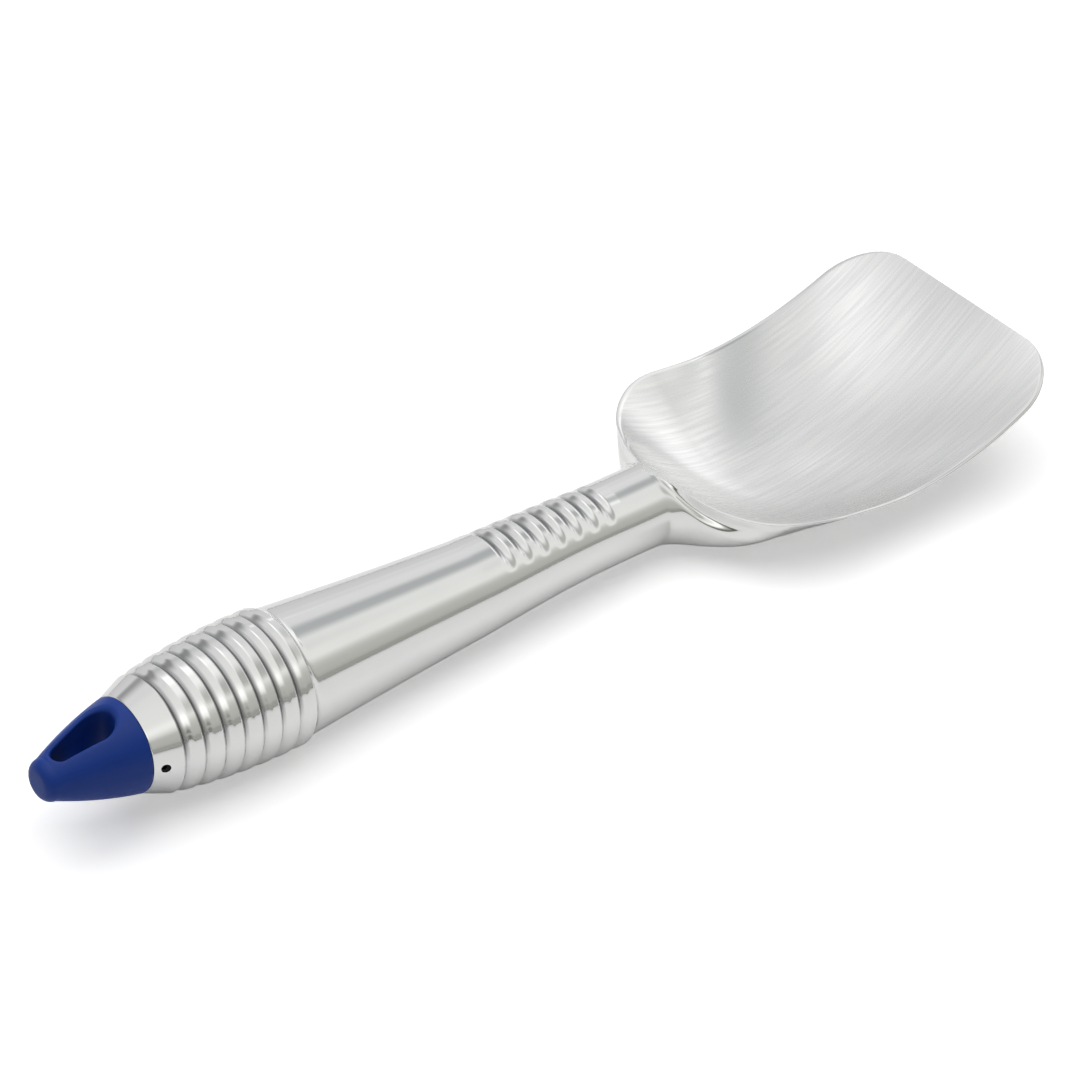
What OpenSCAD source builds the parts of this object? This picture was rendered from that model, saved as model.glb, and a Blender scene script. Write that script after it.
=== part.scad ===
// Ice cream spade: a polished aluminium casting with a fluid-filled handle,
// closed by a pinned plastic cap with a hanging hole. Millimetres.
// Every piece is drawn along the handle axis, X from the cap joint to the blade,
// and then laid down as the spade rests, on its rings and its belly.

/* [Handle] */
// Diameter of the handle where it meets the cap
joint_d = 19.4; // [18.5:0.1:21]
// Diameter over the ring next to the cap
first_ring_d = 23.7; // [22.5:0.1:25]
// Diameter at the thickest place of the ringed swell
swell_d = 28.1; // [26:0.1:30]
// Thickest place of the swell, measured from the cap joint
swell_x = 29; // [24:0.5:32]
// Diameter of the plain grip just past the rings
grip_d = 26.1; // [23:0.1:27.2]
// Length of the step from the last ring down to the plain grip
grip_step_l = 2.1; // [1.2:0.1:4]
// Diameter of the slim neck behind the blade
neck_d = 16.6; // [15:0.1:18]
// Place of the neck, from the cap joint
neck_x = 119; // [117:0.5:122]
// Rise of the neck's centre above the handle axis
neck_lift = 0.6; // [0:0.1:1.5]

/* [Ring grooves] */
// Number of grooves round the swell
ring_count = 7; // [4:1:7]
// Distance between two grooves
ring_pitch = 4.13; // [3.6:0.01:4.4]
// Bottom of the first groove, from the cap joint
first_groove_x = 6.3; // [5.6:0.1:7]
// Width of a groove's steep side, towards the cap
ring_steep_w = 0.9; // [0.5:0.1:1.1]
// Width of a groove's gentle side, towards the blade
ring_gentle_w = 1.9; // [1:0.1:2.3]
// Depth of a groove
ring_groove_depth = 0.6; // [0.2:0.05:0.9]

/* [Thumb grooves] */
// Number of grooves across the top of the handle
thumb_count = 7; // [3:1:7]
// Distance between two thumb grooves
thumb_pitch = 4.2; // [3.6:0.05:4.4]
// First thumb groove, from the cap joint
thumb_x = 86.9; // [86:0.1:89]
// Depth of a thumb groove at the top of the handle
thumb_depth = 0.8; // [0.3:0.05:1.1]
// Width of a thumb groove
thumb_w = 2.6; // [1.6:0.1:3.2]
// Angle from the top at which a thumb groove runs out
thumb_reach = 50; // [35:1:65]

/* [Blade outline] */
// Place where the rim crosses the top of the neck, from the cap joint
blade_start_x = 124.6; // [123:0.1:127]
// Length of the blade from there to its straight tip
blade_l = 83.8; // [78:0.1:92]
// Width across the two straight sides at the corners
blade_w = 60.4; // [54:0.2:68]
// Outward bow of each side between its corners
side_bow = 0.9; // [0:0.1:2]
// Length along the axis that the swept back edge takes up
shoulder_l = 15.4; // [13:0.1:20]
// Corner radius between the swept back edge and the side
shoulder_r = 20; // [12:0.5:22]
// Corner radius at the tip
tip_r = 11; // [6:0.5:15]

/* [Blade height] */
// Height of the rim over the axis where it crosses the neck
rim_start_z = 8.3; // [7.8:0.1:9]
// Height of the rim at its low place beside the neck
rim_dip_z = 4.6; // [3.6:0.1:5.2]
// That low place, from the start of the blade
rim_dip_l = 9; // [7:0.1:11]
// Height of the rim at the shoulder
rim_shoulder_z = 5.2; // [4:0.1:6.5]
// Shoulder high place, from the start of the blade
rim_shoulder_l = 21.4; // [18:0.1:24]
// Height of the rim at the waist
rim_waist_z = 3.4; // [2:0.1:4.5]
// Waist, from the start of the blade
rim_waist_l = 41.4; // [36:0.1:46]
// Height of the straight tip
tip_z = 16.2; // [12:0.1:20]
// Height of the deepest place of the bowl, on its inside
bowl_z = -6.4; // [-8:0.1:-4]
// Deepest place of the bowl, from the start of the blade
bowl_l = 22; // [19:0.1:26]

/* [Blade wall] */
// Wall thickness at the deepest place of the bowl
belly_t = 3.2; // [2.4:0.1:4]
// Wall thickness at the tip
tip_t = 1.3; // [1:0.1:2]
// Width of the rounded lip along the rim
lip_w = 1.2; // [0.6:0.1:2]
// Fall of the lip from the rim to the outer edge
lip_drop = 0.8; // [0.4:0.1:1.2]

/* [Handle chamber] */
// Bore that takes the spigot of the cap
socket_d = 14.6; // [13.6:0.1:15]
// Depth of that bore
socket_l = 14; // [11:0.1:18]
// Bore of the chamber that holds the fluid
chamber_d = 11; // [8:0.1:12]
// End of the chamber, from the cap joint
chamber_end_x = 76; // [50:0.5:77]

/* [Cap] */
// Length of the cap outside the handle
cap_l = 19.4; // [18.5:0.1:24]
// Diameter of the cap at its end, before the end is rounded
cap_end_d = 6.6; // [6:0.1:9]
// Outward bulge of the cap's side
cap_bulge = 0.65; // [0:0.05:1]
// Rounding of the cap's end
cap_end_r = 2.2; // [0.8:0.1:2.6]
// Width of the hanging hole at its wide end
hole_wide_d = 7.2; // [5:0.1:8]
// Middle of the wide end, from the cap joint
hole_wide_l = 6.2; // [5.6:0.1:7]
// Width of the hanging hole at its narrow end
hole_narrow_d = 4.2; // [4.1:0.1:4.8]
// Middle of the narrow end, from the cap joint
hole_narrow_l = 13.8; // [12.5:0.1:14.4]
// Length of the spigot inside the handle
spigot_l = 13; // [9:0.1:13.5]

/* [Seal ring] */
// Thickness of the seal ring's round section
seal_t = 1.6; // [1.2:0.05:2]
// Middle of the seal ring, from the cap joint
seal_x = 9; // [6:0.1:10]
// Length of the groove that the seal ring sits in
seal_groove_l = 2.1; // [2.05:0.05:2.6]

/* [Cap pin] */
// Diameter of the hollow spring pin
pin_d = 1.7; // [1.4:0.05:2]
// Bore of the spring pin
pin_bore_d = 0.9; // [0.6:0.05:1]
// Slot along the spring pin
pin_slot_w = 0.3; // [0.2:0.05:0.4]
// Place of the pin, from the cap joint
pin_x = 2.1; // [1.9:0.1:3]
// How far each end of the pin stands below the handle's surface
pin_sink = 0.4; // [0.1:0.05:0.8]

/* [Fits] */
// Gap all round the spigot in its socket
spigot_clearance = 0.15; // [0.05:0.01:0.3]
// Gap between the seal ring and the walls that hold it
seal_clearance = 0.05; // [0.02:0.01:0.1]
// Gap all round the pin in its holes
pin_clearance = 0.05; // [0.02:0.01:0.1]
// Gap between the fluid and the walls of the chamber
fluid_clearance = 0.05; // [0.02:0.01:0.1]

/* [Hidden] */
$fn = 64;
overcut = 1;

// Shared curves: a quick ease between two heights, and a straight mix
function ease(a, b, t) = a + (b - a) * (1 - cos(180 * max(0, min(1, t)))) / 2;
function mix(a, b, t) = a + (b - a) * max(0, min(1, t));

// Handle: the radius that the grooves are cut into
first_ring_r = first_ring_d / 2;
swell_r = swell_d / 2;
first_edge_x = first_groove_x - ring_steep_w;
ring_edges = [for (k = [0 : ring_count]) first_edge_x + k * ring_pitch];
ring_end_x = ring_edges[ring_count];
grip_x = ring_end_x + grip_step_l;
swell_fall = (swell_r - first_ring_r) / pow(swell_x - first_edge_x, 2);
taper_power = 1.5;
function swell(x) = swell_r - swell_fall * pow(x - swell_x, 2);
function taper(x) =
    neck_d / 2 + (grip_d - neck_d) / 2 * pow(max(0, neck_x - x) / (neck_x - grip_x), taper_power);
function handle_r(x) =
    x < first_edge_x ? mix(joint_d / 2, first_ring_r, x / first_edge_x)
    : x < ring_end_x ? swell(x)
    : x < grip_x ? ease(swell(ring_end_x), taper(grip_x), (x - ring_end_x) / grip_step_l)
    : taper(x);

// One thumb groove: a shallow round dip of a given width
function dip(u, width) = abs(u) < width / 2 ? 1 - pow(2 * u / width, 2) : 0;

// Turned part of the handle, as far as the plane where the cast front starts
front_x = 80;
groove_steps = [-1, -0.6, -0.3, 0, 0.35, 0.65, 1];
function groove_side(t) = t < 0 ? ring_steep_w : ring_gentle_w;
function groove_dip(t) = pow(1 - t * t, 2);
grip_steps = 4;
taper_steps = 8;
turned_points = concat(
    [[0, 0], [0, joint_d / 2]],
    [for (k = [0 : ring_count - 1], t = groove_steps)
        let (x = first_groove_x + k * ring_pitch + t * groove_side(t))
        [x, handle_r(x) - ring_groove_depth * groove_dip(t)]],
    [for (i = [0 : grip_steps])
        let (x = mix(ring_end_x, grip_x, i / grip_steps))
        [x, handle_r(x)]],
    [for (i = [1 : taper_steps])
        let (x = mix(grip_x, front_x, i / taper_steps))
        [x, handle_r(x)]],
    [[front_x, 0]]
);

// Thumb grooves: depth by place along the handle and angle from the top
function thumb_place(x) = (x - thumb_x) / thumb_pitch;
function thumb_near(x) = max(0, min(thumb_count - 1, round(thumb_place(x))));
function thumb_cut(x, from_top) =
    thumb_depth * dip(x - thumb_x - thumb_pitch * thumb_near(x), thumb_w)
    * max(0, (cos(from_top) - cos(thumb_reach)) / (1 - cos(thumb_reach)));

// The top of the thumb rest stays level while the handle under it tapers
thumb_end_x = thumb_x + thumb_pitch * (thumb_count - 1);
thumb_rise = 0.3;
function front_lift(x) =
    ease(0, neck_lift, (x - front_x) / (thumb_end_x - front_x))
    + thumb_rise * sin(180 * max(0, min(1, (x - front_x) / (thumb_end_x + thumb_pitch - front_x))));

// Blade outline: half width at a place along the axis
tip_x = blade_start_x + blade_l;
half_w = blade_w / 2;
corner_x = blade_start_x + shoulder_l;
sweep = atan2(half_w, shoulder_l);
shoulder_t = shoulder_r * tan(sweep / 2);
shoulder_end_x = corner_x + shoulder_t;
shoulder_start_x = corner_x - shoulder_t * cos(sweep);
function bow(x) = side_bow * sin(180 * max(0, min(1, (x - corner_x) / (tip_x - corner_x))));
function outline(x) =
    x <= shoulder_start_x ? (x - blade_start_x) * tan(sweep)
    : x <= shoulder_end_x
        ? half_w - shoulder_r + sqrt(max(0, pow(shoulder_r, 2) - pow(shoulder_end_x - x, 2)))
    : x <= tip_x - tip_r ? half_w
    : half_w - tip_r + sqrt(max(0, pow(tip_r, 2) - pow(x - tip_x + tip_r, 2)));
function blade_half(x) = max(0, outline(x)) + bow(x);

// Blade heights along the axis: rim, inside of the bowl, and belly
rim_dip_x = blade_start_x + rim_dip_l;
rim_shoulder_x = blade_start_x + rim_shoulder_l;
rim_waist_x = blade_start_x + rim_waist_l;
bowl_x = blade_start_x + bowl_l;
function rim_z(x) =
    x < rim_dip_x ? ease(rim_start_z, rim_dip_z, (x - blade_start_x) / rim_dip_l)
    : x < rim_shoulder_x
        ? ease(rim_dip_z, rim_shoulder_z, (x - rim_dip_x) / (rim_shoulder_x - rim_dip_x))
    : x < rim_waist_x
        ? ease(rim_shoulder_z, rim_waist_z, (x - rim_shoulder_x) / (rim_waist_x - rim_shoulder_x))
    : mix(rim_waist_z, tip_z, pow((x - rim_waist_x) / (tip_x - rim_waist_x), 2));
function spine_z(x) =
    x < bowl_x
        ? bowl_z + (rim_start_z - bowl_z) * (1 - sin(90 * max(0, (x - blade_start_x) / bowl_l)))
    : mix(bowl_z, tip_z, pow((x - bowl_x) / (tip_x - bowl_x), 2));
neck_bottom_z = neck_lift - neck_d / 2;
function belly_z(x) =
    x < bowl_x ? ease(neck_bottom_z, bowl_z - belly_t, (x - neck_x) / (bowl_x - neck_x))
    : spine_z(x) - mix(belly_t, tip_t, (x - bowl_x) / (tip_x - bowl_x));

// Rest: the floor line under the rings and the belly, seen from the side
belly_steps = 40;
belly_xs = [for (i = [0 : belly_steps]) mix(neck_x, tip_x, i / belly_steps)];
rest_slope = max([for (e = ring_edges) min([for (x = belly_xs) (belly_z(x) + handle_r(e)) / (x - e)])]);
rest_tilt = atan(rest_slope);
floor_z = min([for (e = ring_edges) -handle_r(e) * cos(rest_tilt) - e * sin(rest_tilt)]);
length_mid = ((tip_x - cap_l) * cos(rest_tilt) + (tip_z - cap_end_d / 2) * sin(rest_tilt)) / 2;

module at_rest() {
    translate([-length_mid, 0, -floor_z])
        rotate([0, rest_tilt, 0])
            children();
}

// Turns a profile of [distance along the axis, radius] points about the handle axis
module turned(points) {
    rotate([0, 90, 0])
        rotate_extrude()
            polygon([for (p = points) [p[1], p[0]]]);
}

module rod(x, length, d) {
    translate([x, 0, 0])
        rotate([0, 90, 0])
            cylinder(h = length, d = d);
}

// Cast front: sections from the handle's front plane to the tip of the blade.
// A section of the neck is a closed ring that starts at the top. A section of
// the blade is an outer run from edge to edge, and an inner run back over the bowl.
// The first ring is a little smaller and sits inside the turned part.
ring_sides = 32;
bowl_cells = 16;
thumb_cells = 4;
root_l = 2;
root_step = 0.3;
neck_xs = concat(
    [front_x - root_l, front_x + root_l / 4],
    [for (i = [-2 : thumb_cells * (thumb_count - 1) + 2]) thumb_x + thumb_pitch * i / thumb_cells],
    [thumb_end_x + thumb_pitch, neck_x, mix(neck_x, blade_start_x, 0.5)]
);
blade_cells = 26;
blade_crowd = 1.8;
tip_cells = 4;
tip_start_x = tip_x - tip_r;
blade_xs = concat(
    [for (i = [1 : blade_cells]) mix(blade_start_x, tip_start_x, pow(i / blade_cells, blade_crowd))],
    [for (i = [1 : tip_cells]) tip_start_x + tip_r * sin(90 * i / tip_cells)]
);

function neck_ring(x) = [for (i = [0 : ring_sides - 1])
    let (
        from_top = 360 * i / ring_sides,
        off_top = from_top > 180 ? 360 - from_top : from_top,
        root = x < front_x ? root_step : 0,
        r = handle_r(x) - root - thumb_cut(x, off_top)
    )
    [x, -r * sin(from_top), front_lift(x) + r * cos(from_top)]];

// Outer run of a blade section: half of an ellipse at the neck, flatter further on
flare_l = 16;
flat_start_l = 7;
flat_l = 14;
function lip_at(x) = min(lip_w, blade_half(x) / 2);
function edge_z(x) = rim_z(x) - lip_drop * lip_at(x) / lip_w;
function body_half(x) =
    let (left = cos(90 * min(1, (x - blade_start_x) / flare_l)))
    sqrt(pow(blade_half(x), 2) + pow(neck_d / 2 * left, 2));
function section_power(x) = mix(1, 2, (x - blade_start_x - flat_start_l) / flat_l);
function outer_run(x) =
    let (
        half = body_half(x),
        edge_angle = acos(min(1, blade_half(x) / half)),
        drop = (edge_z(x) - belly_z(x)) / (1 + sin(edge_angle)),
        mid_z = belly_z(x) + drop
    )
    [for (i = [0 : ring_sides])
        let (
            a = mix(180 - edge_angle, 360 + edge_angle, i / ring_sides),
            s = sin(a)
        )
        [x, half * cos(a), mid_z + drop * (s < 0 ? -pow(-s, section_power(x)) : s)]];

function inner_run(x) =
    let (half = blade_half(x))
    [for (j = [1 : bowl_cells - 1])
        let (
            v = cos(180 * j / bowl_cells),
            in_lip = max(0, 1 - half * (1 - abs(v)) / lip_at(x)),
            bowl = spine_z(x) + (rim_z(x) - spine_z(x)) * v * v
        )
        [x, half * v, bowl - (rim_z(x) - edge_z(x)) * in_lip * in_lip]];

neck_count = len(neck_xs);
blade_count = len(blade_xs);
run = ring_sides + bowl_cells;
apex_ring = outer_run(blade_start_x);
front_points = concat(
    [for (x = neck_xs, p = neck_ring(x)) p],
    [for (i = [0 : ring_sides - 1]) apex_ring[i]],
    [for (x = blade_xs, p = concat(outer_run(x), inner_run(x))) p]
);
apex = neck_count * ring_sides;
blade_base = apex + ring_sides;
function neck_at(k, i) = k * ring_sides + i % ring_sides;
function blade_at(k, i) = blade_base + k * run + i % run;

neck_faces = [for (k = [0 : neck_count - 1], i = [0 : ring_sides - 1], half = [0, 1])
    half == 0
        ? [neck_at(k, i), neck_at(k, i + 1), neck_at(k + 1, i + 1)]
        : [neck_at(k, i), neck_at(k + 1, i + 1), neck_at(k + 1, i)]];
start_faces = [for (i = [0 : ring_sides - 1], half = [0, 1])
    half == 0
        ? [neck_at(neck_count, i), neck_at(neck_count, i + 1), blade_at(0, i + 1)]
        : [neck_at(neck_count, i), blade_at(0, i + 1), blade_at(0, i)]];
bowl_start_faces = [for (j = [0 : bowl_cells - 1])
    [apex, blade_at(0, ring_sides + j), blade_at(0, ring_sides + j + 1)]];
blade_faces = [for (k = [0 : blade_count - 2], i = [0 : run - 1], half = [0, 1])
    half == 0
        ? [blade_at(k, i), blade_at(k, i + 1), blade_at(k + 1, i + 1)]
        : [blade_at(k, i), blade_at(k + 1, i + 1), blade_at(k + 1, i)]];
front_face = [[for (i = [0 : ring_sides - 1]) neck_at(0, ring_sides - 1 - i)]];
tip_face = [[for (i = [0 : run - 1]) blade_at(blade_count - 1, i)]];

module cast_front() {
    polyhedron(
        points = front_points,
        faces = concat(
            front_face, neck_faces, start_faces, bowl_start_faces, blade_faces, tip_face
        )
    );
}

// Pin holes run across the handle, level with its axis
pin_reach = handle_r(pin_x);
module across(length, d) {
    translate([pin_x, -length / 2, 0])
        rotate([-90, 0, 0])
            cylinder(h = length, d = d);
}

module spade_casting() {
    color([0.80, 0.81, 0.82])
        at_rest() union() {
            difference() {
                turned(turned_points);
                rod(-overcut, socket_l + overcut, socket_d);
                rod(0, chamber_end_x, chamber_d);
                across(2 * pin_reach + overcut, pin_d + 2 * pin_clearance);
            }
            cast_front();
        }
}

// Cap: a bulged cone with a rounded end, and a spigot with a seal groove
spigot_d = socket_d - 2 * spigot_clearance;
seal_groove_d = socket_d - 2 * (seal_t + 2 * seal_clearance);
cap_steps = 12;
round_steps = 5;
cap_shoulder_l = cap_l - cap_end_r;
function cap_r(l) =
    mix(joint_d, cap_end_d, l / cap_l) / 2 + 4 * cap_bulge * l * (cap_l - l) / pow(cap_l, 2);
cap_points = concat(
    [[spigot_l, 0], [spigot_l, spigot_d / 2]],
    [[seal_x + seal_groove_l / 2, spigot_d / 2], [seal_x + seal_groove_l / 2, seal_groove_d / 2]],
    [[seal_x - seal_groove_l / 2, seal_groove_d / 2], [seal_x - seal_groove_l / 2, spigot_d / 2]],
    [[0, spigot_d / 2]],
    [for (i = [0 : cap_steps]) [-cap_shoulder_l * i / cap_steps, cap_r(cap_shoulder_l * i / cap_steps)]],
    [for (i = [1 : round_steps])
        let (a = 90 * i / round_steps)
        [-cap_shoulder_l - cap_end_r * sin(a), cap_r(cap_shoulder_l) - cap_end_r * (1 - cos(a))]],
    [[-cap_l, 0]]
);

// Teardrop hole: two round ends joined by their common tangents
hole_wide_r = hole_wide_d / 2;
hole_narrow_r = hole_narrow_d / 2;
hole_lean = asin((hole_wide_r - hole_narrow_r) / (hole_narrow_l - hole_wide_l));
hole_steps = 16;
function arc(l, r, from, to) = [for (i = [0 : hole_steps])
    let (a = mix(from, to, i / hole_steps))
    [-l + r * cos(a), r * sin(a)]];
hole_outline = concat(
    arc(hole_wide_l, hole_wide_r, -90 - hole_lean, 90 + hole_lean),
    arc(hole_narrow_l, hole_narrow_r, 90 + hole_lean, 270 - hole_lean)
);

module end_cap() {
    color([0.16, 0.22, 0.48])
        at_rest()
            difference() {
                turned(cap_points);
                translate([0, 0, -joint_d / 2])
                    linear_extrude(joint_d)
                        polygon(hole_outline);
                across(spigot_d + overcut, pin_d + 2 * pin_clearance);
            }
}

module cap_pin() {
    pin_l = 2 * (pin_reach - pin_sink);
    color([0.55, 0.56, 0.58])
        at_rest()
            difference() {
                across(pin_l, pin_d);
                across(pin_l + overcut, pin_bore_d);
                translate([pin_x - pin_d, -pin_l / 2 - overcut / 2, -pin_slot_w / 2])
                    cube([pin_d, pin_l + overcut, pin_slot_w]);
            }
}

module seal_ring() {
    color([0.08, 0.08, 0.09])
        at_rest()
            translate([seal_x, 0, 0])
                rotate([0, 90, 0])
                    rotate_extrude()
                        translate([socket_d / 2 - seal_clearance - seal_t / 2, 0])
                            circle(d = seal_t, $fn = 32);
}

module heat_fluid() {
    start_x = max(socket_l, spigot_l) + fluid_clearance;
    color([0.75, 0.62, 0.30])
        at_rest()
            rod(start_x, chamber_end_x - start_x - fluid_clearance, chamber_d - 2 * fluid_clearance);
}

spade_casting();
end_cap();
cap_pin();
seal_ring();
heat_fluid();
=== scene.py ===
"""Ice cream spade: a polished aluminium casting with a pinned plastic end cap, on a white studio floor."""

import math
from functools import partial

import bmesh
import bpy
import numpy as np
from mathutils import Matrix, Vector


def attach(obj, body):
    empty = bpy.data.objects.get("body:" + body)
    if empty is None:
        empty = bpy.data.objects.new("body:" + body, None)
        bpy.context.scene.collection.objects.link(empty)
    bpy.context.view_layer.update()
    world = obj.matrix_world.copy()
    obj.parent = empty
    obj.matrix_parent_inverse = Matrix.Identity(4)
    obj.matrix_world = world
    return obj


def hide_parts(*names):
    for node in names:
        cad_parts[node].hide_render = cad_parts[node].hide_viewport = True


bl_info = {
    "name": "Ice Cream Spade",
    "version": (1, 0, 0),
    "blender": (4, 5, 0),
    "location": "3D View > Sidebar > Spade",
    "description": "Builds an ice cream spade piece by piece around its packed solids",
    "category": "Add Mesh",
}

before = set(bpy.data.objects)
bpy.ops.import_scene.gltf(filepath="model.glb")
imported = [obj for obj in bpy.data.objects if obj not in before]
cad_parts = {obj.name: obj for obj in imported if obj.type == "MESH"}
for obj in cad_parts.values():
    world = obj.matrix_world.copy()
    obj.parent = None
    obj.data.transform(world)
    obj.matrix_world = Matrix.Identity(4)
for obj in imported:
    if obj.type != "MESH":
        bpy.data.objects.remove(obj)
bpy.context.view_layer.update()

MM = 0.001
BODY = "root"

# Measures of the meshes
SIDES = 128  # points round the handle
BOWL_CELLS = 96  # cells across the bowl
BLADE_ROWS, TIP_ROWS = 96, 16  # rows along the blade and round its tip
ROW_CROWD = 1.6  # over 1 puts the blade's rows closer together at its start
PIN_WINDOW = 1.4 * MM  # half the length of the window round the pin hole
WINDOW_REACH = 4  # half its sides, in cells
SAME_SPOT = 1e-7  # points closer than this become one
SHARP = math.radians(50)  # edges that turn more than this are drawn sharp

# Names and marks that meshes and materials share
POLISHED, BRUSHED = 0, 1
BRUSH_MAP = "Brush lines"
# Groove walls' roughness together with their painted shade
DULL_SHADED_WALLS = "Dull walls"
FACE_MARK, GROOVED_SKIN = "mark", "skin"
UV_UNIT = 0.1  # metres to one unit of the brush map


# Sizes and colours a user would change

def length(label, words, mm, low=0.0):
    return bpy.props.FloatProperty(
        name=label, description=words, default=mm * MM, min=low * MM, precision=5,
        subtype="DISTANCE", unit="LENGTH")


def degrees(label, words, value):
    return bpy.props.FloatProperty(
        name=label, description=words, default=math.radians(value),
        subtype="ANGLE", unit="ROTATION")


def count(label, words, value):
    return bpy.props.IntProperty(name=label, description=words, default=value, min=1, max=12)


def finish(label, words, value):
    return bpy.props.FloatProperty(
        name=label, description=words, default=value, min=0.0, max=1.0, subtype="FACTOR")


def hex_colour(label, words, value):
    return bpy.props.StringProperty(name=label, description=words, default=value, maxlen=7)


class SpadeHandle(bpy.types.PropertyGroup):
    """Sizes of the round handle, its rings and its thumb rest"""
    joint_d: length("Joint", "Diameter where the handle meets the cap", 19.4)
    first_ring_d: length("First ring", "Diameter over the ring next to the cap", 23.7)
    swell_d: length("Swell", "Diameter at the thickest ring", 28.1)
    swell_x: length("Swell place", "Thickest place, from the cap joint", 29)
    grip_d: length("Grip", "Diameter of the plain grip past the rings", 26.1)
    grip_step_l: length("Grip step", "Length of the step from the last ring down to the grip", 2.1)
    neck_d: length("Neck", "Diameter of the slim neck", 16.6)
    neck_x: length("Neck place", "Place of the neck, from the cap joint", 119)
    neck_lift: length("Neck lift", "Rise of the neck's centre over the axis", 0.6)
    ring_count: count("Rings", "Number of grooves round the swell", 7)
    ring_pitch: length("Ring pitch", "Distance between two ring grooves", 4.13)
    first_groove_x: length("First groove", "Bottom of the first ring groove, from the cap joint", 6.3)
    ring_steep_w: length("Steep side", "Width of a ring groove's steep side, towards the cap", 0.9)
    ring_gentle_w: length("Gentle side", "Width of a ring groove's gentle side, towards the blade", 1.9)
    ring_groove_depth: length("Ring groove depth", "Depth of a ring groove", 0.75)
    thumb_count: count("Thumb grooves", "Number of grooves over the top", 7)
    thumb_pitch: length("Thumb pitch", "Distance between two thumb grooves", 4.2)
    thumb_x: length("First thumb groove", "Bottom of it, from the cap joint", 86.2)
    thumb_depth: length("Thumb groove depth", "Depth at the top of the handle", 0.8)
    thumb_w: length("Thumb groove width", "Width of a thumb groove at its mouth", 3.2)
    thumb_reach: degrees("Thumb reach", "Angle from the top where a thumb groove runs out", 50)
    socket_d: length("Socket", "Bore that takes the spigot of the cap", 14.6)
    socket_l: length("Socket depth", "Depth of that bore", 14)
    chamber_d: length("Chamber", "Bore that holds the fluid", 11)
    chamber_end_x: length("Chamber end", "End of that bore, from the cap joint", 76)
    pin_hole_d: length("Pin hole", "Diameter of the hole across the handle", 1.8)
    pin_x: length("Pin place", "Place of the pin, from the cap joint", 2.1)


class SpadeBlade(bpy.types.PropertyGroup):
    """Sizes of the open blade"""
    start_x: length("Start", "Where the rim crosses the neck, from the cap joint", 124.6)
    length_x: length("Length", "From there to the straight tip", 83.8)
    width: length("Width", "Across the straight sides", 60.4)
    side_bow: length("Side bow", "Outward bow of each side", 0.9)
    shoulder_l: length("Shoulder length", "Length that the swept back edge takes up", 15.4)
    shoulder_r: length("Shoulder radius", "Corner between back edge and side", 20)
    tip_r: length("Tip radius", "Corner at the tip", 11)
    rim_start_z: length("Rim start height", "Over the axis, at the neck", 8.9)
    rim_dip_z: length("Rim dip height", "Low place beside the neck", 4.6)
    rim_dip_l: length("Rim dip place", "From the start of the blade", 9)
    rim_shoulder_z: length("Rim shoulder height", "Over the axis", 5.2)
    rim_shoulder_l: length("Rim shoulder place", "From the start of the blade", 21.4)
    rim_waist_z: length("Rim waist height", "Over the axis", 3.4)
    rim_waist_l: length("Rim waist place", "From the start of the blade", 41.4)
    tip_z: length("Tip height", "Of the straight tip over the axis", 16.2)
    bowl_z: length("Bowl height", "Deepest place of the bowl", -6.4, -20)
    bowl_l: length("Bowl place", "Deepest place, from the start of the blade", 28)
    belly_l: length("Belly place", "Lowest place underneath, from the start of the blade", 22)
    belly_t: length("Belly wall", "Wall under the bowl", 3.2)
    tip_t: length("Tip wall", "Wall at the tip", 1.3)
    lip_w: length("Lip width", "Width of the rounded lip", 1.2)
    lip_drop: length("Lip drop", "Fall of the lip to its outer edge", 0.8)
    lip_grow_l: length("Lip start", "Length over which the lip grows, from the start of the blade", 6)
    flare_l: length("Flare", "Length over which the neck spreads into the blade", 16)
    valley_depth: length("Valley depth", "Depth of the valley under the lip, beside the neck", 1.3)
    valley_w: length("Valley width", "Width of that valley, from the lip down", 5.4)
    valley_start_l: length("Valley start", "From the start of the blade", 0.5)
    valley_fade_l: length("Valley fade", "Where it starts to run out", 9)
    valley_grow_l: length("Valley ends", "Length over which it grows and runs out", 5)
    flat_start_l: length("Flat start", "Where the belly starts to flatten", 7)
    flat_l: length("Flat length", "Length over which the belly flattens", 14)


class SpadeCap(bpy.types.PropertyGroup):
    """Sizes of the end cap"""
    length_x: length("Length", "Length outside the handle", 19.4)
    joint_d: length("Joint", "Diameter where it meets the handle", 19.4)
    end_d: length("End", "Diameter at the end, before rounding", 6.6)
    bulge: length("Bulge", "Outward bulge of the side", 0.65)
    end_r: length("End radius", "Rounding of the end", 2.2)
    joint_r: length("Joint radius", "Rounding of the edge at the joint", 0.35)
    hole_wide_d: length("Hole wide end", "Width of the hanging hole next to the handle", 7.2)
    hole_wide_l: length("Wide end place", "From the joint", 6.2)
    hole_narrow_d: length("Hole narrow end", "Width at the far end", 4.2)
    hole_narrow_l: length("Narrow end place", "From the joint", 13.8)
    hole_round: length("Hole rounding", "Round edge of the hanging hole", 1.1)
    spigot_d: length("Spigot", "Diameter inside the handle", 14.3)
    spigot_l: length("Spigot length", "Length inside the handle", 13)
    seal_groove_d: length("Seal groove", "Diameter at the bottom of the seal groove", 11.2)
    seal_groove_l: length("Seal groove length", "Length of the seal groove", 2.1)
    seal_x: length("Seal place", "From the joint", 9)


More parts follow.
